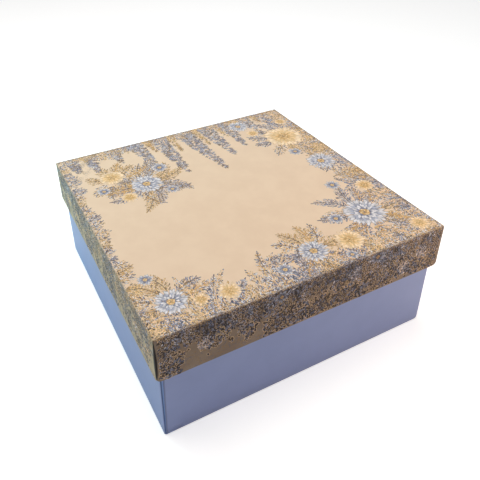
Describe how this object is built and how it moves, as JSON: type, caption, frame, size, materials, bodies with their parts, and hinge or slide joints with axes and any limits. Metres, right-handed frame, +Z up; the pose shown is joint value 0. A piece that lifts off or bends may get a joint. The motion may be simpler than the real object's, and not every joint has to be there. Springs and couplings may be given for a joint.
{
  "type": "sweet box",
  "caption": "Square rigid box for sweets with a lift-off lid: grey board covered in plain blue paper below and in floral printed paper on the lid and its skirts.",
  "frame": {"origin": "centre of the underside, on the surface that the box stands on", "axes": "+Z up, +X to the right of the front face, front face towards -Y"},
  "size_m": [0.2622, 0.263, 0.1081],
  "materials": {
    "grey_board": "matte",
    "corner_tape": "matte",
    "blue_cover": "satin",
    "printed_cover": "satin",
    "lining": "matte"
  },
  "bodies": {
    "base": {"base_floor_board": "grey_board", "base_front_board": "grey_board", "base_back_board": "grey_board", "base_left_board": "grey_board", "base_right_board": "grey_board", "base_corner_tape_front_left": "corner_tape", "base_corner_tape_front_right": "corner_tape", "base_corner_tape_back_right": "corner_tape", "base_corner_tape_back_left": "corner_tape", "base_wall_cover": "blue_cover", "base_bottom_cover": "blue_cover", "base_wall_lining": "lining", "base_floor_lining": "lining"},
    "lid": {"lid_top_board": "grey_board", "lid_front_board": "grey_board", "lid_back_board": "grey_board", "lid_left_board": "grey_board", "lid_right_board": "grey_board", "lid_corner_tape_front_left": "corner_tape", "lid_corner_tape_front_right": "corner_tape", "lid_corner_tape_back_right": "corner_tape", "lid_corner_tape_back_left": "corner_tape", "lid_cover": "printed_cover", "lid_skirt_lining": "lining", "lid_top_lining": "lining"}
  },
  "joints": [
    {"name": "lid_lift", "type": "slide", "parent": "base", "child": "lid", "axis": [0, 0, 1], "range_m": [0, 0.16]}
  ]
}
